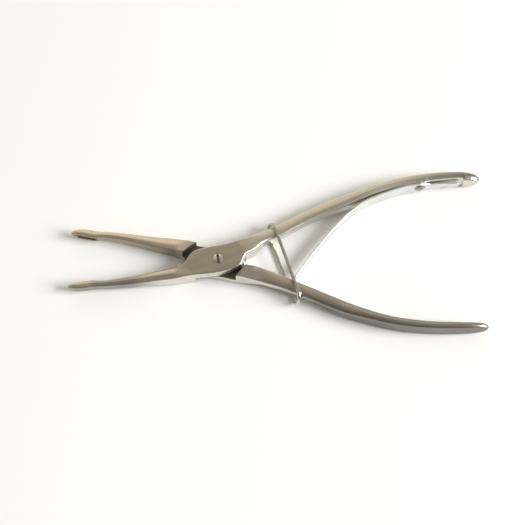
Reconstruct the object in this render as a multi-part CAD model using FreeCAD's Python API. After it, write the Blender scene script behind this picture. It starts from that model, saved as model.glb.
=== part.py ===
import FreeCAD, Part
import math
import os

from FreeCAD import Vector

# Spring-return pliers lying open on one side. The pivot axis is vertical, +X runs
# toward the handles and the jaws point along -X. Millimetres and degrees throughout.

# --- overall sizes -----------------------------------------------------------------
JAW_REACH = 64.6  # pivot to jaw tip
HANDLE_REACH = 113.0  # pivot to the far end of each handle, along X
FRONT_SPREAD = 39.3  # pivot line to the front handle's grip, along Y
BACK_SPREAD = 29.8  # the same on the back handle, which is bent less
OPEN_ANGLE = 20.5  # between the two jaws' meeting faces as drawn
JAW_TILT = 179.0  # heading of the line midway between the jaws

# --- joint -------------------------------------------------------------------------
JOINT_THICK = 8.8  # both lap plates together
JOINT_WIDTH = 12.4  # one lap plate across the pivot
LAP_GAP = 0.1  # running gap between the two lap plates
SWING_GAP = 0.45  # side gap between a lap plate and the other member
JAW_SHOULDER = 11.5  # pivot to the shoulder on the jaw side
JAW_SHOULDER_HEADING = 124.0
HANDLE_SHOULDER = 11.2  # pivot to the shoulder on the handle side
HANDLE_SHOULDER_HEADING = -45.0
PLATE_BEVEL = 0.7  # chamfer round the outer edges of the lap plates

# --- jaws --------------------------------------------------------------------------
JAW_ROOT_REACH = 19.0  # pivot to where the jaw starts to widen into the joint
JAW_ROOT_WIDTH = 5.6
JAW_ROOT_DEPTH = 6.6
JAW_NECK_WIDTH = 3.0
JAW_NECK_DEPTH = 4.4
JAW_RELIEF = 1.3  # how far the closed jaws bow away from each other behind the cups
CUP_WIDTH = 3.45
CUP_LENGTH = 10.0
CUP_DEPTH = 1.2
CUP_BORE = 2.7  # width of the hollow inside the cup
CUP_RIM = 1.6  # solid left at each end of the hollow
JAW_ROUNDING = 0.3  # corner radius as a share of the smaller side
BITE_GAP = 0.1  # left between the two cup rims when the jaws are closed

# --- handles -----------------------------------------------------------------------
SHANK_WIDTH = 5.5
SHANK_DEPTH = 5.0
GRIP_DEPTH = 8.4
FRONT_GRIP_WIDTH = 4.3
BACK_GRIP_WIDTH = 3.4
HANDLE_ROUNDING = 0.36  # corner radius as a share of the smaller side
RECESS_DEPTH = 0.9  # hollow behind the tail of the leaf spring
RECESS_START = 90.0
LIP_START = 106.0  # where the hollow ends in a lip

# --- pivot screw -------------------------------------------------------------------
SCREW_SHANK = 3.0
SCREW_HEAD = 4.4
SCREW_HEAD_DEPTH = 1.3
SCREW_DOME = 0.25
SCREW_END = 0.2  # lower end, above the underside of the joint
SCREW_FIT = 0.05  # radial running clearance in the front plate
SLOT_WIDTH = 0.7
SLOT_DEPTH = 0.7
SLOT_HEADING = 97.0

# --- leaf spring and its rivet -----------------------------------------------------
LEAF_THICK = 0.75
LEAF_ROOT_WIDTH = 7.0
LEAF_END_WIDTH = 4.2
LEAF_TAIL_WIDTH = 3.0
LEAF_TAIL_GAP = 1.4  # tail to the lip of the hollow
LEAF_LIFT = 0.6  # leaf off the handle where it starts to bend away
LEAF_SEAT_LENGTH = 9.0  # straight stretch of the leaf under the rivet
LEAF_SEAT_LIFT = 0.13  # the straight stretch spans the hollow curve of the grip
LEAF_BEND_X = 65.5  # where the leaf leaves the handle
LEAF_END_X = 31.9  # where the free end bears on the back handle
LEAF_END_GAP = 0.3  # free end to the back handle
LEAF_END_HEADING = 234.8
LEAF_ROOT_PULL = 12.0  # how far the leaf keeps its heading at the root
LEAF_END_PULL = 18.0  # and at the free end
RIVET_X = 87.0
RIVET_SHANK = 2.2
RIVET_HEAD = 4.8
RIVET_HEAD_HEIGHT = 0.9
RIVET_SHY = 0.1  # its tail ends this far inside the outside of the grip

# --- wire ring ---------------------------------------------------------------------
WIRE = 1.4
RING_LENGTH = 39.0  # outside, end to end
RING_X = 27.8
RING_Y = -0.5
RING_LEAN = 18.4  # long axis off the Y axis
RING_TILT = 18.4  # the loop leans this far from upright
RING_GAP = 0.35  # shank to the leg above it
RING_REST = 0.02  # lower leg above the surface that the pliers lie on

MID = JOINT_THICK / 2
SIDES = {"front": 1, "back": -1}


def unit(heading):
    """Unit vector in the plan at this heading in degrees."""
    return Vector(math.cos(math.radians(heading)), math.sin(math.radians(heading)), 0)


def section(centre, heading, width, depth, corner):
    """Rounded rectangle across the heading: width in the plan, depth along Z."""
    across = unit(heading + 90)
    up = Vector(0, 0, 1)
    half_w, half_d = width / 2, depth / 2
    edges = []
    corners = [(1, 1), (-1, 1), (-1, -1), (1, -1)]
    points = []
    for sw, sd in corners:
        on_side = centre + across * (sw * half_w) + up * (sd * (half_d - corner))
        on_face = centre + across * (sw * (half_w - corner)) + up * (sd * half_d)
        hub = centre + across * (sw * (half_w - corner)) + up * (sd * (half_d - corner))
        middle = hub + (across * sw + up * sd) * (corner / math.sqrt(2))
        ends = [on_side, on_face] if sw == sd else [on_face, on_side]
        points.append((ends[0], middle, ends[1]))
    for index, (start, middle, end) in enumerate(points):
        edges.append(Part.Arc(start, middle, end).toShape())
        following = points[(index + 1) % len(points)][0]
        edges.append(Part.makeLine(end, following))
    return Part.Wire(edges)


def jaw_frame(side):
    """Unit vectors along one jaw and away from the other jaw's meeting face."""
    sign = SIDES[side]
    heading = JAW_TILT + sign * OPEN_ANGLE / 2
    return unit(heading), unit(heading + 90) * sign


def jaw_stations(side):
    """Centre, width, depth and corner radius along one jaw, from tip to joint."""
    along, away = jaw_frame(side)
    cup_mid = JAW_REACH - 0.6 * CUP_LENGTH
    cup_end = JAW_REACH - CUP_LENGTH - 1.4
    slim, root = JAW_NECK_WIDTH, JAW_ROOT_WIDTH
    arm = cup_end - JAW_ROOT_REACH
    rows = [
        (JAW_REACH, 0.5, 1.0, 1.4),
        (JAW_REACH - 0.7, 0.25, 1.7, 2.6),
        (JAW_REACH - 2.6, 0.0, 2.6, 3.8),
        (cup_mid, 0.0, CUP_WIDTH, JAW_NECK_DEPTH),
        (cup_end, 0.5, slim, JAW_NECK_DEPTH),
        (JAW_ROOT_REACH + 0.82 * arm, 0.95 * JAW_RELIEF, slim + 0.1, JAW_NECK_DEPTH + 0.2),
        (JAW_ROOT_REACH + 0.53 * arm, 0.85 * JAW_RELIEF, slim + 0.9, JAW_NECK_DEPTH + 0.8),
        (JAW_ROOT_REACH + 0.26 * arm, 0.45 * JAW_RELIEF, root - 0.8, JAW_ROOT_DEPTH - 0.6),
        (JAW_ROOT_REACH, 0.3, root, JAW_ROOT_DEPTH),
    ]
    stations = []
    for reach, relief, width, depth in rows:
        offset = BITE_GAP / 2 + relief + width / 2
        corner = JAW_ROUNDING * min(width, depth)
        stations.append((along * reach + away * offset, width, depth, corner))
    return stations


def joint_stations(side):
    """Centre, width, depth and corner radius through the joint, jaw side first."""
    sign = SIDES[side]
    rows = [
        (-12.8, -3.7, 0.71 * JOINT_WIDTH),
        (-8.0, -1.7, 0.94 * JOINT_WIDTH),
        (0.0, 0.0, JOINT_WIDTH),
        (7.5, 2.5, 0.90 * JOINT_WIDTH),
    ]
    return [(Vector(x, sign * y, 0), width, JOINT_THICK, PLATE_BEVEL) for x, y, width in rows]


def handle_stations(side):
    """Centre, width, depth and corner radius along one handle, from joint to end."""
    wide, deep = SHANK_WIDTH, SHANK_DEPTH
    if side == "front":
        spread, grip = FRONT_SPREAD, FRONT_GRIP_WIDTH
        shape = [
            (0.117, 0.172, wide + 2.4, JOINT_THICK - 1.6),
            (0.160, 0.268, wide, deep + 0.5),
            (0.235, 0.368, wide, deep),
            (0.350, 0.548, wide, deep),
            (0.465, 0.694, wide, deep + 1.2),
            (0.560, 0.802, grip + 0.6, GRIP_DEPTH - 0.6),
            (0.690, 0.925, grip, GRIP_DEPTH),
            (0.850, 0.995, grip, GRIP_DEPTH),
            (0.930, 1.005, grip, GRIP_DEPTH - 0.6),
            (0.972, 0.998, grip - 0.4, GRIP_DEPTH - 2.2),
            (0.992, 0.988, grip - 1.6, GRIP_DEPTH - 4.4),
            (1.000, 0.982, grip - 3.0, GRIP_DEPTH - 6.4),
        ]
    else:
        spread, grip = -BACK_SPREAD, BACK_GRIP_WIDTH
        shape = [
            (0.119, 0.176, wide + 1.7, JOINT_THICK - 1.6),
            (0.160, 0.222, wide + 1.0, deep + 0.5),
            (0.235, 0.318, wide + 0.4, deep),
            (0.350, 0.505, wide, deep),
            (0.465, 0.705, wide - 0.2, deep + 1.2),
            (0.560, 0.835, grip + 0.9, GRIP_DEPTH - 0.6),
            (0.690, 0.955, grip + 0.3, GRIP_DEPTH),
            (0.850, 1.000, grip - 0.3, GRIP_DEPTH),
            (0.930, 0.998, grip - 0.6, GRIP_DEPTH - 0.8),
            (0.972, 0.993, grip - 1.0, GRIP_DEPTH - 2.4),
            (0.992, 0.990, grip - 1.6, GRIP_DEPTH - 4.4),
            (1.000, 0.989, grip - 2.4, GRIP_DEPTH - 6.4),
        ]
    stations = []
    for along, across, width, depth in shape:
        centre = Vector(along * HANDLE_REACH, across * spread, 0)
        stations.append((centre, width, depth, HANDLE_ROUNDING * min(width, depth)))
    return stations


def spine_of(stations):
    """Smooth curve in the plan through the stations' centres."""
    curve = Part.BSplineCurve()
    curve.interpolate([row[0] for row in stations])
    return curve


def heading_at(curve, point):
    """Heading in degrees of the curve at a point on it."""
    tangent = curve.tangent(curve.parameter(point))[0]
    return math.degrees(math.atan2(tangent.y, tangent.x))


def forging(side):
    """One whole member at full thickness: jaw, joint and handle as a single loft."""
    stations = jaw_stations(side) + joint_stations(side) + handle_stations(side)
    spine = spine_of(stations)
    wires = []
    for centre, width, depth, corner in stations:
        heading = heading_at(spine, centre)
        wires.append(section(centre + Vector(0, 0, MID), heading, width, depth, corner))
    loft = Part.makeLoft(wires, True, False)
    slab = Part.makeBox(400, 400, JOINT_THICK, Vector(-200, -200, 0))
    return loft.common(slab)


def prism(points, bottom, top):
    """Upright prism over a polygon in the plan."""
    ring = [Vector(p.x, p.y, bottom) for p in points]
    face = Part.Face(Part.makePolygon(ring + ring[:1]))
    return face.extrude(Vector(0, 0, top - bottom))


def shoulder(side, part, retreat=0.0):
    """Foot point, outward normal and direction of one shoulder of a member."""
    sign = -SIDES[side]
    if part == "jaw":
        reach, heading = JAW_SHOULDER, sign * JAW_SHOULDER_HEADING
    else:
        reach, heading = HANDLE_SHOULDER, sign * HANDLE_SHOULDER_HEADING
    normal = unit(heading)
    return normal * (reach + retreat), normal, unit(heading + 90)


def lap_pocket(side):
    """Half-depth pocket that leaves one lap plate, open on both sides of the member."""
    reach = 3 * JOINT_WIDTH
    foot_jaw, _, run_jaw = shoulder(side, "jaw")
    foot_handle, _, run_handle = shoulder(side, "handle")
    corners = [
        foot_jaw - run_jaw * reach,
        foot_jaw + run_jaw * reach,
        foot_handle - run_handle * reach,
        foot_handle + run_handle * reach,
    ]
    if side == "front":
        return prism(corners, -1.0, MID + LAP_GAP / 2)
    return prism(corners, MID - LAP_GAP / 2, JOINT_THICK + 1.0)


def swing_zone(side, part):
    """Plan area that the other member's full-thickness part fills when closed."""
    other = "back" if side == "front" else "front"
    sign = SIDES[other]
    foot, normal, run = shoulder(other, part, -SWING_GAP)
    if part == "jaw":
        _, away = jaw_frame(other)
        inner_run = jaw_frame(other)[0]
        inner_point = away * (-BITE_GAP / 2)
    else:
        edge = handle_stations(other)
        start, width = edge[0][0], edge[0][1]
        ahead = edge[2][0]
        inner_run = (ahead - start).normalize()
        away = Vector(-inner_run.y, inner_run.x, 0) * sign
        inner_point = start - away * (width / 2 + SWING_GAP)
    crossing = meet(foot, run, inner_point, inner_run)
    reach = 3 * JOINT_WIDTH
    outer = run if run.dot(away) > 0 else run * -1
    corners = [
        crossing,
        crossing + inner_run * reach,
        crossing + inner_run * reach + away * reach,
        crossing + outer * reach,
    ]
    return corners


def meet(point_a, run_a, point_b, run_b):
    """Where two lines in the plan cross."""
    gap = point_b - point_a
    turn = run_a.x * run_b.y - run_a.y * run_b.x
    share = (gap.x * run_b.y - gap.y * run_b.x) / turn
    return point_a + run_a * share


def turned(shape, degrees):
    """Copy of a shape turned about the pivot axis."""
    copy = shape.copy()
    copy.rotate(Vector(0, 0, 0), Vector(0, 0, 1), degrees)
    return copy


def clear_swing(solid, side):
    """Cut a member back where the other one arrives as the pliers close."""
    closing = OPEN_ANGLE * SIDES[side]
    through = (-1.0, JOINT_THICK + 1.0)
    solid = solid.cut(turned(prism(swing_zone(side, "jaw"), *through), closing))
    bottom, top = through if side == "front" else (-1.0, MID)
    return solid.cut(turned(prism(swing_zone(side, "handle"), bottom, top), closing))


def cup_hollow(side):
    """Capsule that scoops the inside of one jaw tip."""
    along, away = jaw_frame(side)
    radius = (CUP_DEPTH ** 2 + (CUP_BORE / 2) ** 2) / (2 * CUP_DEPTH)
    hub = away * (BITE_GAP / 2 + CUP_DEPTH - radius) + Vector(0, 0, MID)
    start = along * (JAW_REACH - CUP_LENGTH) + hub
    length = CUP_LENGTH - 2 * CUP_RIM
    end = start + along * length
    capsule = Part.makeCylinder(radius, length, start, along)
    for centre in (start, end):
        capsule = capsule.fuse(Part.makeSphere(radius, centre))
    return capsule


def screw_body(fit=0.0):
    """Countersunk head and shank of the pivot screw, larger all round by the fit."""
    head, shank = SCREW_HEAD / 2 + fit, SCREW_SHANK / 2 + fit
    cone_top = JOINT_THICK
    cone_bottom = cone_top - SCREW_HEAD_DEPTH
    profile = [
        Vector(0, 0, SCREW_END),
        Vector(shank, 0, SCREW_END),
        Vector(shank, 0, cone_bottom),
        Vector(head, 0, cone_top),
        Vector(0, 0, cone_top),
    ]
    face = Part.Face(Part.makePolygon(profile + profile[:1]))
    return face.revolve(Vector(0, 0, 0), Vector(0, 0, 1), 360)


def pivot_screw():
    """Slotted screw with a slightly domed head."""
    head = SCREW_HEAD / 2
    radius = (head ** 2 + SCREW_DOME ** 2) / (2 * SCREW_DOME)
    ball = Part.makeSphere(radius, Vector(0, 0, JOINT_THICK + SCREW_DOME - radius))
    stub = Part.makeCylinder(head, SCREW_DOME, Vector(0, 0, JOINT_THICK))
    body = screw_body().fuse(ball.common(stub))
    slot = Part.makeBox(
        2 * SCREW_HEAD,
        SLOT_WIDTH,
        SLOT_DEPTH + SCREW_DOME,
        Vector(-SCREW_HEAD, -SLOT_WIDTH / 2, JOINT_THICK - SLOT_DEPTH),
    )
    return body.cut(turned(slot, SLOT_HEADING)).removeSplitter()


def side_edge(side, hand):
    """Curve in the plan along the left (1) or right (-1) side of a handle."""
    stations = handle_stations(side)
    spine = spine_of(stations)
    points = []
    for centre, width, _, _ in stations[:-2]:
        normal = unit(heading_at(spine, centre) + 90 * hand)
        points.append(centre + normal * (width / 2))
    curve = Part.BSplineCurve()
    curve.interpolate(points)
    return curve


def point_at_x(curve, x):
    """Point on a plan curve at this X, found by halving."""
    low, high = curve.FirstParameter, curve.LastParameter
    for _ in range(50):
        middle = (low + high) / 2
        if curve.value(middle).x < x:
            low = middle
        else:
            high = middle
    return curve.value(low)


def seat():
    """Point, heading and inward normal of the leaf's seat on the front handle."""
    edge = side_edge("front", -1)
    point = point_at_x(edge, RIVET_X)
    heading = heading_at(edge, point)
    inward = unit(heading - 90)
    return point + inward * LEAF_SEAT_LIFT, heading, inward


def leaf_route():
    """Centreline of the leaf spring in the plan, from its tail to its free end."""
    edge = side_edge("front", -1)
    seat_point, heading, inward = seat()
    bend = point_at_x(edge, LEAF_BEND_X)
    bend_heading = heading_at(edge, bend) + 180
    half = LEAF_THICK / 2
    tail_edge = point_at_x(edge, LIP_START - LEAF_TAIL_GAP)
    tail = tail_edge + unit(heading_at(edge, tail_edge) - 90) * half
    flat = unit(heading) * (LEAF_SEAT_LENGTH / 2)
    start = bend + unit(bend_heading + 90) * (half + LEAF_LIFT)
    partner = side_edge("back", 1)
    rest = point_at_x(partner, LEAF_END_X)
    lift = unit(heading_at(partner, rest) + 90)
    end = rest + lift * (LEAF_END_GAP + half)
    pull_start = start + unit(bend_heading) * LEAF_ROOT_PULL
    pull_end = end - unit(LEAF_END_HEADING) * LEAF_END_PULL
    bezier = Part.BezierCurve()
    bezier.setPoles([start, pull_start, pull_end, end])
    seat_centre = seat_point + inward * half
    route = [tail, seat_centre + flat, seat_centre, seat_centre - flat]
    halfway = point_at_x(edge, (RIVET_X + LEAF_BEND_X) / 2)
    route.append(halfway + unit(heading_at(edge, halfway) - 90) * (half + LEAF_LIFT / 2))
    return route + [bezier.value(share / 5) for share in range(6)]


def leaf_spring():
    """Tapered leaf: a band in the plan trimmed by its side outline."""
    route = leaf_route()
    spine = Part.BSplineCurve()
    spine.interpolate(route)
    rails = []
    for hand in (1, -1):
        rail = Part.BSplineCurve()
        turns = [unit(heading_at(spine, p) + 90 * hand) for p in route]
        rail.interpolate([p + turn * (LEAF_THICK / 2) for p, turn in zip(route, turns)])
        rails.append(rail)
    first, second = rails
    far_end = Part.makeLine(first.EndPoint, second.EndPoint)
    tail_end = Part.makeLine(second.StartPoint, first.StartPoint)
    wire = Part.Wire([first.toShape(), far_end, second.toShape(), tail_end])
    band = Part.Face(wire).extrude(Vector(0, 0, JOINT_THICK))
    outline = [
        (LIP_START, LEAF_TAIL_WIDTH),
        (RIVET_X + 7, LEAF_TAIL_WIDTH + 0.8),
        (RIVET_X + 3.5, LEAF_ROOT_WIDTH),
        (LEAF_BEND_X, LEAF_ROOT_WIDTH),
        (route[-1].x - 2, LEAF_END_WIDTH),
    ]
    upper = [Vector(x, -200, MID + width / 2) for x, width in outline]
    lower = [Vector(x, -200, MID - width / 2) for x, width in reversed(outline)]
    side = Part.Face(Part.makePolygon(upper + lower + upper[:1]))
    return band.common(side.extrude(Vector(0, 400, 0)))


def recess_cut():
    """Hollow along the inside of the grip, behind the leaf's tail, up to the lip."""
    edge = side_edge("front", -1)
    near = point_at_x(edge, RECESS_START)
    far = point_at_x(edge, LIP_START)
    deep_near = near + unit(heading_at(edge, near) + 90) * (0.3 * RECESS_DEPTH)
    deep_far = far + unit(heading_at(edge, far) + 90) * RECESS_DEPTH
    drop = Vector(0, -SHANK_WIDTH, 0)
    return prism([near + drop, near, deep_near, deep_far, far + drop], -1.0, JOINT_THICK + 1)


def rivet_axis():
    """Centre of the leaf's inner face at the rivet, and the direction into the handle."""
    point, _, inward = seat()
    return point + inward * LEAF_THICK + Vector(0, 0, MID), inward * -1


def rivet_hole():
    """Bore for the rivet, through the leaf and the handle."""
    face, direction = rivet_axis()
    start = face - direction * LEAF_THICK
    return Part.makeCylinder(RIVET_SHANK / 2, 4 * FRONT_GRIP_WIDTH, start, direction)


def spring_rivet():
    """Domed head on the leaf and a shank that ends just short of the grip's outside."""
    face, direction = rivet_axis()
    head, shank = RIVET_HEAD / 2, RIVET_SHANK / 2
    length = LEAF_THICK + LEAF_SEAT_LIFT + FRONT_GRIP_WIDTH - RIVET_SHY
    radius = (head ** 2 + RIVET_HEAD_HEIGHT ** 2) / (2 * RIVET_HEAD_HEIGHT)
    half = math.asin(head / radius) / 2
    top = Vector(0, 0, RIVET_HEAD_HEIGHT)
    middle = top + Vector(radius * math.sin(half), 0, radius * (math.cos(half) - 1))
    dome = Part.Arc(top, middle, Vector(head, 0, 0)).toShape()
    corners = [
        Vector(head, 0, 0),
        Vector(shank, 0, 0),
        Vector(shank, 0, -length),
        Vector(0, 0, -length),
        top,
    ]
    sides = [Part.makeLine(*ends) for ends in zip(corners, corners[1:])]
    rivet = Part.Face(Part.Wire([dome] + sides)).revolve(Vector(), Vector(0, 0, 1), 360)
    rivet.Placement = FreeCAD.Placement(face, FreeCAD.Rotation(Vector(0, 0, -1), direction))
    return rivet


def wire_ring():
    """Closed loop of round wire round both shanks: two straight legs, two round ends."""
    rise = MID + SHANK_DEPTH / 2 + RING_GAP + WIRE / 2 - (RING_REST + WIRE / 2)
    spacing = rise / math.cos(math.radians(RING_TILT))
    straight = RING_LENGTH - WIRE - spacing
    radius = WIRE / 2
    leg_start = Vector(-straight / 2, 0, spacing / 2)
    leg = Part.makeCylinder(radius, straight, leg_start, Vector(1, 0, 0))
    hub = Vector(straight / 2, 0, 0)
    end = Part.makeTorus(spacing / 2, radius, hub, Vector(0, 1, 0), -180, 180, 180)
    half = leg.fuse(end)
    other = half.copy()
    other.rotate(Vector(0, 0, 0), Vector(0, 1, 0), 180)
    ring = half.fuse(other)
    ring.rotate(Vector(0, 0, 0), Vector(1, 0, 0), RING_TILT)
    ring.rotate(Vector(0, 0, 0), Vector(0, 0, 1), 90 + RING_LEAN)
    ring.translate(Vector(RING_X, RING_Y, RING_REST + WIRE / 2 + rise / 2))
    return ring.removeSplitter()


def member(side):
    """One forged member: the full loft, cut down to a lap plate, with its tip scooped."""
    solid = forging(side).cut(lap_pocket(side))
    solid = clear_swing(solid, side)
    solid = solid.cut(cup_hollow(side))
    if side == "front":
        solid = solid.cut(screw_body(SCREW_FIT))
        solid = solid.cut(recess_cut())
        return solid.cut(rivet_hole())
    bore = Part.makeCylinder(SCREW_SHANK / 2, JOINT_THICK, Vector(0, 0, -1))
    return solid.cut(bore)


def save(name, shape):
    """Write one sub-part and say what was written."""
    shape.exportStep("parts/%s.step" % name)
    box = shape.BoundBox
    print(name, shape.isValid(), len(shape.Solids), round(shape.Volume, 1), box)


def main():
    os.makedirs("parts", exist_ok=True)
    save("front_member", member("front"))
    save("back_member", member("back"))
    save("pivot_screw", pivot_screw())
    save("leaf_spring", leaf_spring().cut(rivet_hole()))
    save("spring_rivet", spring_rivet())
    save("wire_ring", wire_ring())


main()
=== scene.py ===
# %% [markdown]
# # Spring-return pliers in satin steel
# The real tool is two forged levers that cross at one slotted screw. A flat leaf of
# spring steel is riveted to one grip and pushes the other grip away, and a loose wire
# ring slides along the shanks to hold the pliers shut. The measured frame comes from the
# CAD model, so nothing here has to be fitted by eye: a piece is made where it belongs.

import bmesh
import bpy
import numpy as np
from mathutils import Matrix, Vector


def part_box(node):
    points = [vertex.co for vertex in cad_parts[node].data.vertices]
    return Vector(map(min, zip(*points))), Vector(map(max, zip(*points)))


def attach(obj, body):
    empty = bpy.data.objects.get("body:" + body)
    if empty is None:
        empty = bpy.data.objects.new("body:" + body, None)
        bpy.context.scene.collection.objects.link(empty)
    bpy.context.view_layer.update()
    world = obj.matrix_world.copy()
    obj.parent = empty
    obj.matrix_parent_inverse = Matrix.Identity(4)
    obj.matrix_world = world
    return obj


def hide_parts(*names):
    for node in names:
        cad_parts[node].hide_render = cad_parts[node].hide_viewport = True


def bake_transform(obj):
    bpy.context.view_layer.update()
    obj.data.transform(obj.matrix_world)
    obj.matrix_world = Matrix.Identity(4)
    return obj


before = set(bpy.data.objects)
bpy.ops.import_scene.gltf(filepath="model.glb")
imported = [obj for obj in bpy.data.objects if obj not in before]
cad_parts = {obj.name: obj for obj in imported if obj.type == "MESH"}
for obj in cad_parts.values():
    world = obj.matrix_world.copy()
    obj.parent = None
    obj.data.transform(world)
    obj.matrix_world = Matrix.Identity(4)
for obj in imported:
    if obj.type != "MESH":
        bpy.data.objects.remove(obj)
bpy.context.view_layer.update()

scene = bpy.context.scene

# %% [markdown]
# ## Sizes that the pieces share
# A millimetre is easier to read than a metre, so every size below is in millimetres and
# one helper turns a finished grid into metres. The joint's thickness is read from the
# frame, because both levers and the screw have to agree with it.

# %% Shared sizes
MM = 0.001
JOINT_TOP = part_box("front_member")[1].z / MM
MIDDLE = JOINT_TOP / 2
LAP_GAP = 0.1
OPENING = np.radians(20.5)
JAW_REACH = 64.6
HANDLE_REACH = 113.0
print("joint thickness:", round(JOINT_TOP, 2), "mm, halves meet at", round(MIDDLE, 2))

# %% [markdown]
# ## From a grid of points to a closed skin
# Each piece is a surface with two parameters: one runs along the piece, the other round
# its section. Stored as an array of shape (along, round, 3), it becomes a mesh by joining
# every point to its neighbours. A lathe or a stack of extrusions could make some of these
# pieces as well, but one grid keeps the whole outline editable as numbers, and its two
# parameters give an attribute in millimetres that the steel's grain follows later.

# %% Grid to mesh
SHARP, MERGE = 32, 2e-7


def skin(name, grid, ring=False, worn=None, dull_and_shade=None, side=None):
    """Closed mesh over grid[along, round]: face (i, j) joins points (i, j), (i+1, j),
    (i+1, j+1) and (i, j+1), with j wrapping round. A ring wraps along i as well, and any
    other piece is closed by one fan of triangles from the middle of each end."""
    rows, cols = grid.shape[:2]
    index = np.arange(rows * cols).reshape(rows, cols)
    here = index if ring else index[:-1]
    ahead = np.roll(index, -1, axis=0) if ring else index[1:]
    quads = np.stack([here, ahead, np.roll(ahead, -1, 1), np.roll(here, -1, 1)], -1)
    faces = quads.reshape(-1, 4).tolist()
    points = grid.reshape(-1, 3)
    spine = grid.mean(1)
    step = np.linalg.norm(np.diff(spine, axis=0), axis=1)
    tangent = np.gradient(spine, axis=0)
    normal = np.stack([-tangent[:, 1], tangent[:, 0], 0 * tangent[:, 0]], -1)
    normal /= np.linalg.norm(normal, axis=1, keepdims=True) + 1e-12
    across = ((grid - spine[:, None]) * normal[:, None]).sum(-1).reshape(-1)
    along = np.repeat(np.concatenate([[0], np.cumsum(step)]), cols)
    grain = np.stack([along, across, points[:, 2]], -1)
    marks = {}
    for mark, values in (("edge", worn), ("dull_and_shade", dull_and_shade), ("side", side)):
        marks[mark] = np.zeros(rows * cols) if values is None else values.reshape(-1)
    if not ring:
        ends = grid[[0, -1]].mean(1)
        points = np.vstack([points, ends])
        grain = np.vstack([grain, grain[[0, -1]]])
        marks = {mark: np.append(values, [0, 0]) for mark, values in marks.items()}
        turn = np.roll(index, -1, 1)
        first = [(rows * cols, a, b) for a, b in zip(index[0], turn[0])]
        last = [(rows * cols + 1, b, a) for a, b in zip(index[-1], turn[-1])]
        faces += first + last
    mesh = bpy.data.meshes.new(name)
    mesh.from_pydata((points * MM).tolist(), [], faces)
    for mark, values in marks.items():
        layer = mesh.attributes.new(mark, "FLOAT", "POINT")
        layer.data.foreach_set("value", values.astype(np.float32))
    layer = mesh.attributes.new("grain", "FLOAT_VECTOR", "POINT")
    layer.data.foreach_set("vector", grain.astype(np.float32).reshape(-1))
    return finish_mesh(name, mesh)


def finish_mesh(name, mesh):
    """Object from a mesh: doubles merged, faces turned outwards, smooth shading with
    every edge sharper than a set angle in degrees kept crisp."""
    shape = bmesh.new()
    shape.from_mesh(mesh)
    bmesh.ops.remove_doubles(shape, verts=shape.verts, dist=MERGE)
    bmesh.ops.recalc_face_normals(shape, faces=shape.faces)
    shape.to_mesh(mesh)
    open_edges = sum(not e.is_manifold for e in shape.edges)
    shape.free()
    mesh.shade_smooth()
    mesh.set_sharp_from_angle(angle=np.radians(SHARP))
    obj = bpy.data.objects.new(name, mesh)
    scene.collection.objects.link(obj)
    print(name, len(mesh.polygons), "faces,", open_edges, "open edges")
    return obj

# %% [markdown]
# ## A curve that doesn't overshoot
# A forging's outline flows smoothly through a few places where its size is known. A plain
# cubic spline swings past a sudden change, like the lump where shank meets joint. Akima's
# rule weighs the slope on each side by how much it changes, so it stays calm there.

# %% Akima interpolation
def flow(keys, values, at):
    """Akima curve through values at keys. The slope at a key is the mean of its two
    neighbouring chord slopes, each weighed by how much the slopes change beyond the
    other one, and each span is the cubic that has those slopes at its ends."""
    values = np.asarray(values, float)
    chord = np.diff(values) / np.diff(keys)
    before = [3 * chord[0] - 2 * chord[1], 2 * chord[0] - chord[1]]
    after = [2 * chord[-1] - chord[-2], 3 * chord[-1] - 2 * chord[-2]]
    chord = np.concatenate([before, chord, after])
    change = np.abs(np.diff(chord)) + 1e-9
    left, right = change[2:], change[:-2]
    slope = (left * chord[1:-2] + right * chord[2:-1]) / (left + right)
    span = np.clip(np.searchsorted(keys, at, side="right") - 1, 0, len(keys) - 2)
    width = np.diff(keys)[span]
    t = (at - keys[span]) / width
    here, there = values[span], values[span + 1]
    rise = slope[span] * width
    fall = slope[span + 1] * width
    bend = 3 * (there - here) - 2 * rise - fall
    twist = 2 * (here - there) + rise + fall
    return here + t * (rise + t * (bend + t * twist))


def chain(points):
    """Distance along a polyline at each of its points, starting from zero."""
    steps = np.linalg.norm(np.diff(points, axis=0), axis=1)
    return np.concatenate([[0], np.cumsum(steps)])


def side_points(centre, width):
    """Points half a width to the left and right of a smooth line through the centres."""
    keys = chain(centre)
    nudge = 0.05
    ahead = np.stack([flow(keys, c, keys + nudge) for c in centre.T], -1)
    behind = np.stack([flow(keys, c, keys - nudge) for c in centre.T], -1)
    tangent = ahead - behind
    tangent /= np.linalg.norm(tangent, axis=1, keepdims=True)
    normal = np.stack([-tangent[:, 1], tangent[:, 0]], -1)
    half = np.asarray(width)[:, None] / 2
    return centre + normal * half, centre - normal * half


steps = np.arange(5.0)
print("a straight run stays straight:", flow(steps, steps, np.array([0.5, 2.25, 3.5])))

# %% [markdown]
# ## The section of a forged bar
# A forging has flat faces with rounded corners, and each corner can have its own radius:
# tight where the jaws meet, generous where a palm presses. The section is worked out for
# all stations at once. Between the corners lie straight runs, and a knee in each upright
# side lets the lower half of the section fold away where the bar becomes a half lap.

# %% Section of a bar
FLAT, CORNER, WALL = 14, 7, 9


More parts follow.
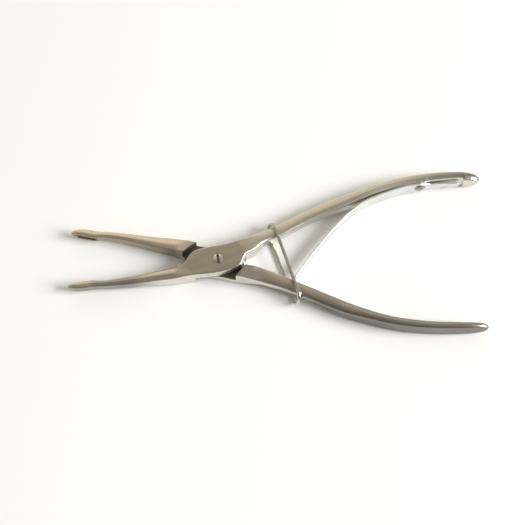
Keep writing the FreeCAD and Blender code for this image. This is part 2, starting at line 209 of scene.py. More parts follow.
def bar_section(width, low, high, corner, crown, knee):
    """Distance across and height for every section point. The loop runs over the top
    from right to left, round a corner, down the left wall, along the underside and up the
    right wall. Corner is [top left, bottom left, bottom right, top right]; a corner point
    is its centre plus radius times (cos, sin). Crown lifts the middle of the top as
    1 - s squared, and s runs from -1 to 1 across it."""
    top_left, low_left, low_right, top_right = corner
    col = width[:, None] * 0

    def turn(across, height, radius, start):
        angle = np.radians(start - np.linspace(0, 90, CORNER + 2)[1:-1])
        return across + radius * np.cos(angle), height + radius * np.sin(angle)

    def run(start, end, count, crown_by=0):
        share = np.linspace(0, 1, count)
        bow = crown_by * (1 - (2 * share - 1) ** 2)
        return start + (end - start) * share, bow

    w, lo, hi = width[:, None], low[:, None], high[:, None]
    tl, bl, br, tr = (c[:, None] for c in (top_left, low_left, low_right, top_right))
    parts = []
    across, bow = run(tr, w - tl, FLAT, crown[:, None])
    parts.append((across, hi + bow))
    parts.append(turn(w - tl, hi - tl, tl, 90))
    upper, _ = run(hi - tl, knee + col, WALL)
    lower, _ = run(knee + col, lo + bl, WALL)
    parts.append((w + 0 * upper, upper))
    parts.append((w + 0 * lower[:, 1:], lower[:, 1:]))
    parts.append(turn(w - bl, lo + bl, bl, 0))
    across, bow = run(w - bl, br, FLAT, crown[:, None])
    parts.append((across, lo - np.minimum(bow, lo)))
    parts.append(turn(br, lo + br, br, -90))
    lower, _ = run(lo + br, knee + col, WALL)
    upper, _ = run(knee + col, hi - tr, WALL)
    parts.append((0 * lower, lower))
    parts.append((0 * upper[:, 1:], upper[:, 1:]))
    parts.append(turn(tr, hi - tr, tr, 180))
    across = np.concatenate([p[0] + col for p in parts], axis=1)
    height = np.concatenate([p[1] + col for p in parts], axis=1)
    return across, height


def corner_weight(sections):
    """1 at the middle of each corner, fading to 0 along the flats: where steel wears."""
    bend = np.sin(np.linspace(0, np.pi, CORNER + 2)[1:-1])
    top = np.zeros(FLAT)
    wall = np.zeros(2 * WALL - 1)
    loop = np.concatenate([top, bend, wall, bend, top, bend, wall, bend])
    return np.tile(loop, (sections, 1))


def side_weight(sections):
    """0 on the broad faces and 1 on the upright sides, rising through each corner."""
    rise = np.linspace(0, 1, CORNER + 2)[1:-1]
    flat, wall = np.zeros(FLAT), np.ones(2 * WALL - 1)
    loop = np.concatenate([flat, rise, wall, rise[::-1], flat, rise, wall, rise[::-1]])
    return np.tile(loop, (sections, 1))


print("section points:", corner_weight(1).shape[1])

# %% [markdown]
# ## The two levers
# On the real tool each lever is one forging: jaw, half of the lap joint, and handle. Both
# share a pattern, and the back lever is that pattern turned over, so one function makes
# both. A section near the joint isn't square to the bar. It lies along the shoulder where
# the full bar steps down to its half lap, and that puts the step exactly between two
# neighbouring sections. Cutting the lap with a boolean would work too, but it would leave
# ragged triangles across faces that ought to shine.

# %% Stations of the jaw
JAW_TILT = np.radians(1.0)
BITE_GAP = 0.1
CUP = {"length": 10.0, "depth": 1.2, "width": 2.7, "rim": 1.6}
# The cup's hollow is marked partly dull: rougher, with painted shade in its colour.
CUP_ROWS, CUP_DULL_AND_SHADE = 5, 0.4


def jaw_directions(front):
    """Unit vectors along a jaw and away from the other one, in the lever's own pattern.
    The line midway between the jaws is tilted, so it leans the other way in the pattern
    of the lever that is turned over."""
    heading = np.pi + OPENING / 2 - (JAW_TILT if front else -JAW_TILT)
    return (np.array([np.cos(heading), np.sin(heading)]),
            np.array([-np.sin(heading), np.cos(heading)]))


def jaw_rows(front):
    """Centre, width and depth of the jaw's sections from its tip to its root. Reach is
    measured along the jaw, and relief is how far the biting side bows away from the line
    where both jaws meet."""
    along, away = jaw_directions(front)
    from_tip = np.array([0, 0.3, 0.9, 2.4, 4.4, 7.0, 10.4, 13.1, 17.6, 27.6, 36.6, 45.1])
    reach = JAW_REACH - from_tip
    relief = np.array([0.75, 0.55, 0.3, 0.05, 0, 0, 0, 0.75, 1.2, 1.1, 0.6, 0.3])
    width = np.array([0.5, 1.0, 1.6, 2.5, 3.1, 3.45, 3.4, 2.85, 3.0, 3.9, 4.8, 5.6])
    depth = np.array([0.8, 1.6, 2.4, 3.5, 4.2, 4.4, 4.4, 4.4, 4.6, 5.2, 6.2, 7.6])
    offset = BITE_GAP / 2 + relief + width / 2
    centre = reach[:, None] * along + offset[:, None] * away
    return centre, width, depth


centre, width, depth = jaw_rows(True)
print("jaw tip at", centre[0].round(1), "mm, root at", centre[-1].round(1), "mm")

# %% [markdown]
# ## Where the two halves overlap
# In the joint each lever keeps half of its thickness, and the halves lie face to face.
# Its edges bulge round the screw and then run into jaw and handle, which no centre line
# with a width describes well, so the two edges are given as points of their own. The
# roots of the handles stay clear of each other until the jaws meet.

# %% Edges of the joint, in the plan
LAP_LEFT = [(-17.2, -2.8), (-15.4, -2.55), (-13.8, -0.9), (-12.7, 1.0), (-11.3, 2.9),
            (-8.6, 4.4), (-4.6, 5.4), (0.0, 6.3), (4.0, 7.2)]
LAP_RIGHT = [(-13.4, -8.1), (-9.5, -7.5), (-7.6, -7.3), (-5.6, -7.1), (-3.5, -6.9),
             (-0.8, -6.5), (2.4, -5.8), (5.8, -4.7), (9.4, -2.9)]
ROOT_LEFT = {True: [(7.4, 8.35), (10.6, 9.7)], False: [(7.6, 7.95), (10.6, 8.4)]}
ROOT_RIGHT = {True: [(11.8, 2.2), (15.3, 4.4)], False: [(12.0, 2.4), (15.6, 3.1)]}
SHOULDERS = (1, 9)
PLATE_BEVEL = 0.65
print("lap plate spans", len(LAP_LEFT), "sections")

# %% [markdown]
# ## Handles that fit a palm
# A handle leaves the joint as a slim shank and becomes a grip that is deep but narrow, so
# that it doesn't roll in the hand. Its last few sections shrink fast, which rounds the
# end. The sprung handle is bent a little further out than the other.

# %% Handles
def handle_rows(front):
    """Centre, width and depth of the handle's sections from shank to rounded end. Along
    is a share of the handle's reach, and spread is a share of how far it is bent."""
    along = np.array([0.165, 0.235, 0.350, 0.465, 0.560, 0.690, 0.850,
                      0.930, 0.966, 0.985, 0.996, 1.001])
    if front:
        spread = 39.3 * np.array([0.274, 0.368, 0.548, 0.694, 0.802, 0.925, 0.995,
                                  1.005, 0.999, 0.991, 0.985, 0.982])
        width = np.array([5.5, 5.5, 5.5, 5.5, 4.9, 4.3, 4.3, 4.3, 4.1, 3.5, 2.4, 1.0])
    else:
        spread = 29.8 * np.array([0.228, 0.318, 0.505, 0.705, 0.835, 0.955, 1.000,
                                  0.998, 0.994, 0.991, 0.989, 0.989])
        width = np.array([6.5, 5.9, 5.5, 5.3, 4.3, 3.7, 3.1, 2.8, 2.5, 2.2, 1.6, 0.8])
    depth = np.array([5.7, 5.0, 5.0, 6.2, 7.8, 8.4, 8.4, 7.8, 6.7, 5.1, 3.1, 1.2])
    return np.stack([along * HANDLE_REACH, spread], -1), width, depth


print("front grip", handle_rows(True)[2].max(), "mm deep")

# %% [markdown]
# ## One table for a whole lever
# Jaw, joint and handle are joined into one list of stations, so that the outline stays
# smooth where they meet. Corner radii differ along the bar: small beside the biting
# edge, large where the hand presses, and a plain bevel round the joint's plate. A broad
# face is never quite flat after polishing, so it also has a slight crown.

# %% Every station of a lever
JAW_ROOT_DEPTH, SHANK_ROOT_DEPTH = 8.5, 7.8
BITING_SHARE, OUTER_SHARE = 0.36, 0.40
BITING_RADIUS = {True: {"tip": 0.4, "root": 1.9, "grip": 1.0},
                 False: {"tip": 0.4, "root": 0.8, "grip": 1.7}}
OUTER_RADIUS = {"jaw": 1.6, "grip": 2.3}
JAW_CROWN, SHANK_CROWN, GRIP_CROWN = 0.28, 0.08, {True: 0.30, False: 0.06}


def lean_root(points, front):
    """Edge of the joint with its first three points turned about the pivot, less and
    less, on the lever whose jaw leans further in the pattern."""
    if front:
        return points
    turn = 2 * JAW_TILT * np.clip(1 - np.arange(len(points)) / 3, 0, 1)
    c, s = np.cos(turn), np.sin(turn)
    return np.stack([points[:, 0] * c - points[:, 1] * s,
                     points[:, 0] * s + points[:, 1] * c], -1)


def lever_stations(front):
    """Left and right edge, and a table of depth, biting corner, outer corner and crown,
    at each station from the jaw's tip to the handle's end, with the number of stations
    in the jaw. A corner's radius is at most a share of the section's thinner side."""
    centre, width, depth = jaw_rows(front)
    jaw_left, jaw_right = side_points(centre, width)
    grip_centre, grip_width, grip_depth = handle_rows(front)
    grip_left, grip_right = side_points(grip_centre, grip_width)
    lap_left = lean_root(np.array(LAP_LEFT + ROOT_LEFT[front]), front)
    lap_right = lean_root(np.array(LAP_RIGHT + ROOT_RIGHT[front]), front)
    counts = len(centre), len(lap_left), len(grip_centre)

    def column(*values):
        """One value per station: jaw, lap and grip each give a number or an array."""
        return np.concatenate([np.zeros(n) + v for n, v in zip(counts, values)])

    lap_depth = np.full(counts[1], JOINT_TOP)
    lap_depth[[0, -1]] = JAW_ROOT_DEPTH, SHANK_ROOT_DEPTH
    thin = column(np.minimum(width, depth), lap_depth, grip_width)
    depth = column(depth, lap_depth, grip_depth)
    thin = np.minimum(thin, depth)
    radius = BITING_RADIUS[front]
    jaw_corner = np.linspace(radius["tip"], radius["root"], counts[0])
    biting = column(jaw_corner, PLATE_BEVEL, radius["grip"])
    biting = np.minimum(BITING_SHARE * thin, biting)
    outer = column(OUTER_RADIUS["jaw"], PLATE_BEVEL, OUTER_RADIUS["grip"])
    outer = np.minimum(OUTER_SHARE * thin, outer)
    grip_crown = np.interp(np.arange(counts[2]), [1, 4], [SHANK_CROWN, GRIP_CROWN[front]])
    crown = column(JAW_CROWN, 0.0, grip_crown)
    crown[[0, -1]] = 0
    left = np.vstack([jaw_left, lap_left, grip_left])
    right = np.vstack([jaw_right, lap_right, grip_right])
    return left, right, (depth, biting, outer, crown), counts[0]


print("stations in a lever:", len(lever_stations(True)[0]))

# %% [markdown]
# ## What the grinder takes away
# After forging, the tips are hollowed, the sprung grip is relieved behind the leaf's tail,
# and each jaw's inner face is ground back to where the jaws meet. Each of these only
# moves points that the grid already has, so the skin stays one clean surface.

# %% Hollows and stops
def stop_at_bite(plan, front, rows):
    """Points of the jaw's rows that have crossed the line where the jaws meet, moved back
    to it along the direction away from the other jaw."""
    _, away = jaw_directions(front)
    over = np.maximum(0, BITE_GAP / 2 - plan @ away) * rows[:, None]
    return plan + over[..., None] * away


def press_cup(plan, height, front):
    """How deep the cup is at each point of the biting side: the part of a rod with round
    ends that lies beyond the meeting line. Depth is the root of radius squared less the
    squares of the distance past the rod's straight part and of the height off its axis,
    less the rod's offset."""
    along, away = jaw_directions(front)
    radius = cup_radius()
    reach = plan @ along
    start = JAW_REACH - CUP["length"]
    end = start + CUP["length"] - 2 * CUP["rim"]
    past = np.maximum(0, np.maximum(start - reach, reach - end))
    square = radius ** 2 - past ** 2 - (height - MIDDLE) ** 2
    rod = np.sqrt(np.maximum(square, 0)) - (radius - CUP["depth"])
    bite_depth = 0.35
    facing = plan @ away < BITE_GAP / 2 + bite_depth
    return np.where(facing, np.maximum(rod, 0), 0)


def hollow_behind_leaf(x):
    """Depth of the relief in the front grip behind the leaf's tail: it starts with a small
    step, deepens along the grip and ends in an upright lip."""
    step, lip = (89.8, 90.0), (105.7, 106.1)
    return np.interp(x, [*step, *lip], [0.0, 0.27, 0.9, 0.0])


def cup_radius():
    """Radius of the rod that leaves a hollow of the cup's depth and width: a quarter of
    the width squared plus the depth squared, over twice the depth."""
    return (CUP["depth"] ** 2 + (CUP["width"] / 2) ** 2) / (2 * CUP["depth"])


print("the cup is cut with a radius of", round(cup_radius(), 2), "mm")

# %% [markdown]
# ## Sweeping the section
# The stations are sampled finely and a section is laid over each pair of edge points.
# Two rows of points only a step apart make each shoulder of the lap, and the back lever
# is the same sweep turned over about the length of the tool.

# %% One lever from its stations
STEP = 0.03
CRISP = 0.12
KNEE = MIDDLE + LAP_GAP / 2 + CRISP + 0.02


def rows_of(keys, first, last, cup_far):
    """Where the sections are cut along a lever: close together over the rounded ends and
    the cup, and one pair a step apart at each shoulder."""
    end, nose, heel = keys[-1], 1.2, 2.0
    return np.unique(np.concatenate([
        np.linspace(0, nose, 16), np.linspace(nose, cup_far, 90),
        np.linspace(cup_far, end, 420), np.linspace(end - heel, end, 20),
        [first, first + STEP, last - STEP, last]]))


def lever(name, front):
    """A forged lever as one grid. Left and right edges run through the stations as Akima
    curves, the section is swept between them, the cup is pressed into the biting side as
    part of a round-ended rod, and the lap is a sudden change of the underside's height."""
    left, right, table, jaws = lever_stations(front)
    keys = chain((left + right) / 2)
    first, last = keys[jaws + SHOULDERS[0]], keys[jaws + SHOULDERS[1]]
    at = rows_of(keys, first, last, keys[jaws - CUP_ROWS])
    edges = [flow(keys, e, at) for e in (left[:, 0], left[:, 1], right[:, 0], right[:, 1])]
    left, right = np.stack(edges[:2], -1), np.stack(edges[2:], -1)
    depth = flow(keys, table[0], at)
    biting, outer, crown = (np.interp(at, keys, column) for column in table[1:])
    low = (JOINT_TOP - depth) / 2
    high = JOINT_TOP - low
    lapped = np.interp(at, [first, first + STEP, last - STEP, last], [0, 1, 1, 0])
    low = low + (MIDDLE + LAP_GAP / 2 - low) * lapped
    jaw_side = at < (first + last) / 2
    top_left = np.where(jaw_side, biting, outer)
    top_right = np.where(jaw_side, outer, biting)
    low_left = top_left + (CRISP - top_left) * lapped
    low_right = top_right + (CRISP - top_right) * lapped
    span = np.linalg.norm(left - right, axis=1)
    across, height = bar_section(span, low, high, (top_left, low_left, low_right, top_right),
                                 crown, KNEE)
    unit = (left - right) / span[:, None]
    if front:
        across = across + hollow_behind_leaf(right[:, 0])[:, None] * (1 - across / span[:, None])
    plan = right[:, None, :] + across[..., None] * unit[:, None, :]
    plan = stop_at_bite(plan, front, at < first + 2 * STEP)
    cup = press_cup(plan, height, front)
    plan = plan - cup[..., None] * unit[:, None, :]
    # The lap's hidden faces and the cup's hollow are marked dull: rougher, with painted shade in
    # their colour.
    inside = lapped[:, None] * (height < KNEE + 0.05)
    grid = np.concatenate([plan, height[..., None]], -1)
    if not front:
        grid = np.stack([grid[..., 0], -grid[..., 1], JOINT_TOP - grid[..., 2]], -1)
    return skin(name, grid, worn=corner_weight(len(at)) * (1 - inside),
                dull_and_shade=np.clip(inside + CUP_DULL_AND_SHADE * (cup > 0.05), 0, 1),
                side=side_weight(len(at)))


front_lever = lever("front_lever", True)
back_lever = lever("back_lever", False)

# %% [markdown]
# ## Holes for the screw
# The front lever is countersunk and the back lever is bored, so that the screw's slot has
# depth and its end shows from below. A hole crosses the grid's lines, so it is the one
# place where a boolean is the better way. The new corners borrow their grain from the
# nearest old ones, or the streaks would smear.

# %% Drill the levers
SCREW = {"head": 2.2, "shank": 1.5, "sink": 1.3, "dome": 0.34, "slot": 0.50, "cut": 0.75}
SCREW_FIT, BORE_FIT = 0.07, 0.02
# A drilled wall is marked partly dull: rougher, with painted shade in its colour.
LENDING_RADIUS, WALL_DULL_AND_SHADE = 6.0, 0.6


def turned_tool(profile):
    """Closed turned shape about the pivot: each (radius, height) of the profile is one
    circle, and the first and last circles are capped."""
    radius, height = np.array(profile).T
    turn = np.linspace(0, 2 * np.pi, 64, endpoint=False)
    ring = np.stack([np.cos(turn), np.sin(turn)], -1)
    plan = radius[:, None, None] * ring
    upright = np.repeat(height[:, None, None], len(turn), 1)
    return skin("drill", np.concatenate([plan, upright], -1))


def read(mesh, mark, width, kind):
    """Values of a mesh attribute as an array with one row per corner."""
    values = np.zeros(len(mesh.vertices) * width)
    mesh.attributes[mark].data.foreach_get(kind, values)
    return values.reshape(-1, width)


def near_screw(mesh, radius):
    """Numbers and places of the corners within a radius of the pivot, in millimetres."""
    places = read(mesh, "position", 3, "vector") / MM
    numbers = np.flatnonzero(np.hypot(places[:, 0], places[:, 1]) < radius)
    return numbers, places[numbers]


def drill(obj, profile):
    """Subtract a turned tool from a piece. Each corner on the hole's wall borrows the
    grain of the nearest old corner, and is marked dull: rougher, with painted shade in its
    colour."""
    numbers, lenders = near_screw(obj.data, LENDING_RADIUS)
    lent = read(obj.data, "grain", 3, "vector")[numbers]
    tool = turned_tool(profile)
    cut = obj.modifiers.new("hole", "BOOLEAN")
    cut.operation = "DIFFERENCE"
    cut.object = tool
    cut.solver = "EXACT"
    graph = bpy.context.evaluated_depsgraph_get()
    mesh = bpy.data.meshes.new_from_object(obj.evaluated_get(graph))
    obj.modifiers.clear()
    bpy.data.objects.remove(tool)
    obj.data = mesh
    wall, places = near_screw(mesh, max(radius for radius, _ in profile) + 0.01)
    nearest = np.linalg.norm(places[:, None] - lenders[None], axis=-1).argmin(1)
    grain = read(mesh, "grain", 3, "vector")
    dull_and_shade = read(mesh, "dull_and_shade", 1, "value")
    grain[wall] = lent[nearest]
    dull_and_shade[wall] = WALL_DULL_AND_SHADE
    mesh.attributes["grain"].data.foreach_set("vector", grain.reshape(-1))
    mesh.attributes["dull_and_shade"].data.foreach_set("value", dull_and_shade.reshape(-1))
    mesh.set_sharp_from_angle(angle=np.radians(SHARP))
    print(obj.name, "after drilling:", len(mesh.polygons), "faces")


head, shank = SCREW["head"] + SCREW_FIT, SCREW["shank"] + SCREW_FIT
drill(front_lever, [(shank, 0), (shank, JOINT_TOP - SCREW["sink"]), (head, JOINT_TOP),
                    (head, JOINT_TOP + 1)])
bore = SCREW["shank"] + BORE_FIT
drill(back_lever, [(bore, -1), (bore, JOINT_TOP)])
for obj, body, node in ((front_lever, "front_half", "front_member"),
                        (back_lever, "back_half", "back_member")):
    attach(obj, body)
    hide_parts(node)

# %% [markdown]
# ## Pivot screw
# The real screw has a countersunk head, turned slightly domed, with one straight slot.
# Its sections are cut across the slot, so that the slot's walls fall between neighbouring
# sections and stay upright and sharp.

# %% Pivot screw
SLOT_HEADING = np.radians(97)
SLOT_WALL = 0.015
DOME_POWER = 3.2
SCREW_SHARES = np.array([0.985, 0.93, 0.86, 0.80, 0.75])
SCREW_DROPS = np.array([0.08, 0.25, 0.5, 0.75, 1.0])
SCREW_END = 8.6


def screw_rows(radius, slot):
    """Distance of each section from the slot's middle: radius times the sine of an angle
    in even steps, with extra sections across the slot and a thin one for each wall."""
    p = radius * np.sin(np.linspace(-np.pi / 2, np.pi / 2, 41))
    return np.unique(np.concatenate([p[np.abs(p) > slot + 0.1], np.linspace(-slot, slot, 7),
                                     [-slot - SLOT_WALL, slot + SLOT_WALL]]))


def pivot_screw():
    """Screw as sections at distance p beside the slot's middle. Half the length of a
    section is the root of radius squared less p squared. The loop runs over the dome,
    which falls with a power of the distance from the axis, down the cone and the shank,
    which scale the section towards the axis, and back up the other side."""
    r, slot = SCREW["head"], SCREW["slot"]
    p = screw_rows(r, slot)
    half = np.sqrt(np.maximum(r ** 2 - p ** 2, 0))
    t = np.linspace(-1, 1, 33)
    x = np.repeat(p[:, None], len(t), 1)
    y = half[:, None] * t
    share = (x ** 2 + y ** 2) / r ** 2
    dome = JOINT_TOP + SCREW["dome"] * (1 - share ** (DOME_POWER / 2))
    floor = JOINT_TOP - SCREW["cut"]
    top = np.where(np.abs(x) <= slot, floor, dome)
    slim = SCREW["shank"] / r
    scale = np.concatenate([SCREW_SHARES, [slim, slim, slim, slim * 0.9]])
    drop = JOINT_TOP - np.concatenate([SCREW_DROPS, [SCREW["sink"], 4.4, 8.45, SCREW_END]])
    side_x = p[:, None] * scale
    side_y = half[:, None] * scale
    side_z = np.repeat(drop[None], len(p), 0)
    base = np.linspace(1, -1, 9)[1:-1] * scale[-1]
    loop_x = [x, side_x, np.repeat(p[:, None] * scale[-1], len(base), 1), side_x[:, ::-1]]
    loop_y = [y, side_y, half[:, None] * base, -side_y[:, ::-1]]
    loop_z = [top, side_z, np.full((len(p), len(base)), drop[-1]), side_z[:, ::-1]]
    x, y, z = (np.concatenate(parts, axis=1) for parts in (loop_x, loop_y, loop_z))
    c, s = np.cos(SLOT_HEADING), np.sin(SLOT_HEADING)
    # The slot's floor is marked dull: rougher, with painted shade in its colour.
    sunk = (np.abs(x) < slot + SLOT_WALL / 2) & (z < floor + 0.01)
    return skin("slotted_screw", np.stack([-x * s + y * c, x * c + y * s, z], -1),
                worn=np.clip(rim_weight(x, y, r), 0, 1) * ~sunk, dull_and_shade=1.0 * sunk)


def rim_weight(x, y, radius):
    """1 on the head's rim, fading to 0 a third of the way in."""
    return 1 - (radius - np.hypot(x, y)) / (radius / 3)


screw = pivot_screw()
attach(screw, "back_half")
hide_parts("pivot_screw")

# %% [markdown]
# ## Leaf spring
# A real leaf is cut from strip, pierced for its rivet and bent on edge. It is the same
# swept bar as a lever, only thin, so it reuses the section with almost no rounding. On the
# real tool it bends when the grips close.

# %% Leaf spring
LEAF_THICK, LEAF_NOSE, LEAF_CORNER = 0.75, 1.1, 0.16
LEAF_LINE = np.array([(104.4, 36.93), (98.0, 36.72), (91.5, 36.12), (87.1, 35.47),
                      (82.6, 34.79), (76.4, 33.0), (65.9, 28.86), (59.1, 24.75),
                      (52.2, 18.2), (45.3, 10.1), (38.6, 1.15), (32.2, -7.85)])
LEAF_WIDTH = np.array([2.4, 3.1, 3.9, 6.8, 7.0, 7.0, 7.0, 6.5, 5.9, 5.3, 4.8, 4.2])


def leaf_spring():
    """Strip swept on edge along its bent line, as wide as its stations say. At each end
    the width falls off as a circle does, the root of 1 less the square of what is left."""
    keys = chain(LEAF_LINE)
    at = np.linspace(0, keys[-1], 260)
    line = np.stack([flow(keys, c, at) for c in LEAF_LINE.T], -1)
    tangent = np.gradient(line, axis=0)
    tangent /= np.linalg.norm(tangent, axis=1, keepdims=True)
    normal = np.stack([-tangent[:, 1], tangent[:, 0]], -1)
    wide = np.interp(at, keys, LEAF_WIDTH)
    from_end = np.minimum(at - at[0], at[-1] - at)
    nose = np.sqrt(np.clip(1 - (1 - from_end / LEAF_NOSE).clip(0) ** 2, 0.05, 1))
    wide = wide * nose
    corner = [np.full(len(at), LEAF_CORNER)] * 4
    across, height = bar_section(np.full(len(at), LEAF_THICK), MIDDLE - wide / 2,
                                 MIDDLE + wide / 2, corner, np.zeros(len(at)), MIDDLE)
    plan = line[:, None, :] + (across - LEAF_THICK / 2)[..., None] * normal[:, None, :]
    return skin("leaf", np.concatenate([plan, height[..., None]], -1),
                worn=corner_weight(len(at)))


leaf = leaf_spring()
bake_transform(leaf)
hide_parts("leaf_spring")

# %% [markdown]
# ## Rivet
# A rivet's head is set with a cupped punch, so it is a low dome with a small flat land at
# its rim. A turned profile gives it exactly.

# %% Rivet
RIVET_HEAD, RIVET_RISE, RIVET_RIM = 2.4, 0.9, 0.08
RIVET_SHANK, RIVET_DEPTH = 1.1, 4.9
RIVET_FOOT = Vector((87.129, 35.098, MIDDLE))
RIVET_AXIS = Vector((0.1465, -0.9892, 0)).normalized()


def rivet():
    """Turned profile: a dome whose height is rise times (1 - share to the power 2.2), with
    share the distance over the head's radius, a short upright rim, and the shank inside
    the grip. Each ring is a circle about the axis."""
    share = np.linspace(0.02, 1, 22)
    r = np.concatenate([share * RIVET_HEAD, [RIVET_HEAD, RIVET_SHANK, RIVET_SHANK]])
    dome = RIVET_RISE * (1 - share ** 2.2) + RIVET_RIM
    out = np.concatenate([dome, [0.0, 0.0, -RIVET_DEPTH]])
    turn = np.linspace(0, 2 * np.pi, 56, endpoint=False)
    side = Vector((0, 0, 1)).cross(RIVET_AXIS)
    ring = r[:, None, None] * (np.cos(turn)[None, :, None] * np.array(side)
                               + np.sin(turn)[None, :, None] * np.array((0, 0, 1.0)))
    grid = np.array(RIVET_FOOT) + ring + out[:, None, None] * np.array(RIVET_AXIS)
    worn = np.repeat(np.clip(r / RIVET_HEAD, 0, 1)[:, None] ** 6, len(turn), 1)
    return skin("spring_rivet_head", grid, worn=worn)


leaf_rivet = rivet()
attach(leaf_rivet, "front_half")
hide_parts("spring_rivet")

# %% [markdown]
# ## Wire ring
# Round wire, bent into a long link with two half-circle ends and brazed shut. A curve with
# a round bevel would do, but a swept grid keeps one way of working for every piece.

# %% Wire ring
WIRE = 1.4
ring_low, ring_high = (np.array(c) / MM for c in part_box("wire_ring"))
RING_CENTRE = (ring_low + ring_high) / 2
RING_LEAN = np.radians(18.4)
RING_LENGTH = 39.0


def wire_ring():
    """Round wire along a link: straight runs joined by half circles. The link is drawn
    upright, leaned over, and then turned in the plan to lie across the shanks and lean
    away from them by the same angle."""
    rise = ring_high[2] - ring_low[2] - WIRE
    spacing = rise / np.cos(RING_LEAN)
    straight = RING_LENGTH - WIRE - spacing
    total = 2 * straight + np.pi * spacing
    s = np.linspace(0, total, 360, endpoint=False)
    bend = np.pi * spacing / 2
    run = np.clip(s, 0, straight) - np.clip(s - straight - bend, 0, straight)
    angle = (np.clip(s - straight, 0, bend) + np.clip(s - 2 * straight - bend, 0, bend)) \
        / (spacing / 2)
    x = run - straight / 2 + spacing / 2 * np.sin(angle)
    z = spacing / 2 * np.cos(angle)
    line = np.stack([x, 0 * x, z], -1)
    outward = np.stack([np.sin(angle), 0 * x, np.cos(angle)], -1)
    sideways = np.array([0, 1.0, 0])
    turn = np.linspace(0, 2 * np.pi, 24, endpoint=False)[None, :, None]
    grid = line[:, None] + WIRE / 2 * (np.cos(turn) * outward[:, None] + np.sin(turn) * sideways)
    x, y, z = grid[..., 0], grid[..., 1], grid[..., 2]
    c, s = np.cos(RING_LEAN), np.sin(RING_LEAN)
    y, z = y * c - z * s, y * s + z * c
    c, s = np.cos(RING_LEAN + np.pi / 2), np.sin(RING_LEAN + np.pi / 2)
    grid = np.stack([x * c - y * s, x * s + y * c, z], -1)
    return skin("locking_ring", grid + RING_CENTRE, ring=True)


locking_ring = wire_ring()
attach(locking_ring, "ring")
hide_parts("wire_ring")

# %% [markdown]
# ## Satin steel
# Polished forgings are not one grey. Belt polishing leaves fine lines along the bar, the
# polish varies from patch to patch, and corners are rubbed brighter by use. All of that
# comes from the grain attribute, which runs along each piece, so nothing slides when the
# pliers move.

# %% A small language for shader nodes
class Graph:
    """A material's nodes. Each method adds one node and gives back its output socket, and
    takes sockets or constants."""

    def __init__(self, name):
        self.material = bpy.data.materials.new(name)
        self.material.use_nodes = True
        self.tree = self.material.node_tree
        self.shader = self.tree.nodes["Principled BSDF"]

    def node(self, kind):
        return self.tree.nodes.new(kind)

    def put(self, socket, value):
        """Set a socket from a number or a colour, or link it to another socket."""
        if isinstance(value, tuple):
            socket.default_value = (*value, 1)
        elif isinstance(value, (int, float)):
            socket.default_value = value
        else:
            self.tree.links.new(value, socket)

    def attribute(self, name, output):
        """Attribute stored on the mesh by the skin."""
        node = self.node("ShaderNodeAttribute")
        node.attribute_name = name
        return node.outputs[output]

    def noise(self, along, scale, detail, shift, seed):
        """Noise over the grain attribute, stretched by the scale on each axis."""
        where = self.node("ShaderNodeMapping")
        where.inputs["Scale"].default_value = scale
        where.inputs["Location"].default_value = (shift + seed, shift, seed)
        self.put(where.inputs["Vector"], along)
        tex = self.node("ShaderNodeTexNoise")
        tex.inputs["Scale"].default_value = 1.0
        tex.inputs["Detail"].default_value = detail
        self.put(tex.inputs["Vector"], where.outputs["Vector"])
        return tex.outputs["Fac"]

    def math(self, kind, a, b):
        """One arithmetic node."""
        node = self.node("ShaderNodeMath")
        node.operation = kind
        self.put(node.inputs[0], a)
        self.put(node.inputs[1], b)
        return node.outputs[0]

    def mix(self, factor, a, b, kind="MIX"):
        """Mix of two colours, or their product when the kind is MULTIPLY."""
        node = self.node("ShaderNodeMix")
        node.data_type = "RGBA"
        node.blend_type = kind
        for socket, value in zip((node.inputs["Factor"], *node.inputs[6:8]), (factor, a, b)):
            self.put(socket, value)
        return node.outputs[2]

    def stretch(self, value, low, high):
        """Value stretched so that low becomes 0 and high becomes 1."""
        node = self.node("ShaderNodeMapRange")
        node.inputs["From Min"].default_value = low
        node.inputs["From Max"].default_value = high
        self.put(node.inputs["Value"], value)
        return node.outputs["Result"]

    def bands(self, along, stops):
        """Colour that changes smoothly along the bar, through the given stops."""
        split = self.node("ShaderNodeSeparateXYZ")
        self.put(split.inputs["Vector"], along)
        end = float(stops[-1][0])
        node = self.node("ShaderNodeValToRGB")
        node.color_ramp.interpolation = "EASE"
        set_stops(node.color_ramp, [(place / end, shade) for place, shade in stops])
        self.put(node.inputs["Fac"], self.math("DIVIDE", split.outputs["X"], end))
        return node.outputs["Color"]


def set_stops(ramp, stops):
    """Put (place, colour) stops on a colour ramp, which starts with two of its own."""
    for number, (place, shade) in enumerate(stops):
        if number < 2:
            point = ramp.elements[number]
            point.position = place
        else:
            point = ramp.elements.new(place)
        point.color = (*shade, 1)


print("kinds of node:", [kind for kind in vars(Graph) if kind[0] != "_"])

# %% [markdown]
# ## From nodes to steel
# Base colour on a metal is the colour of its reflections. Slow noise and fine streaks
# decide how pale it is, and a worn corner is paler still. Hollows, slot floors, drilled
# walls and the lap's hidden faces are rougher, and their colour is darkened as painted
# shade. A bump far finer than the mesh breaks up the reflections.

# %% Steel material
WEAR, BUMP, BUMP_DEPTH = 0.5, 0.3, 0.03
# Dark colour that paints shade into hollows, slot floors, drilled walls and the lap's hidden
# faces.
RECESS_SHADE = (0.16, 0.145, 0.125)


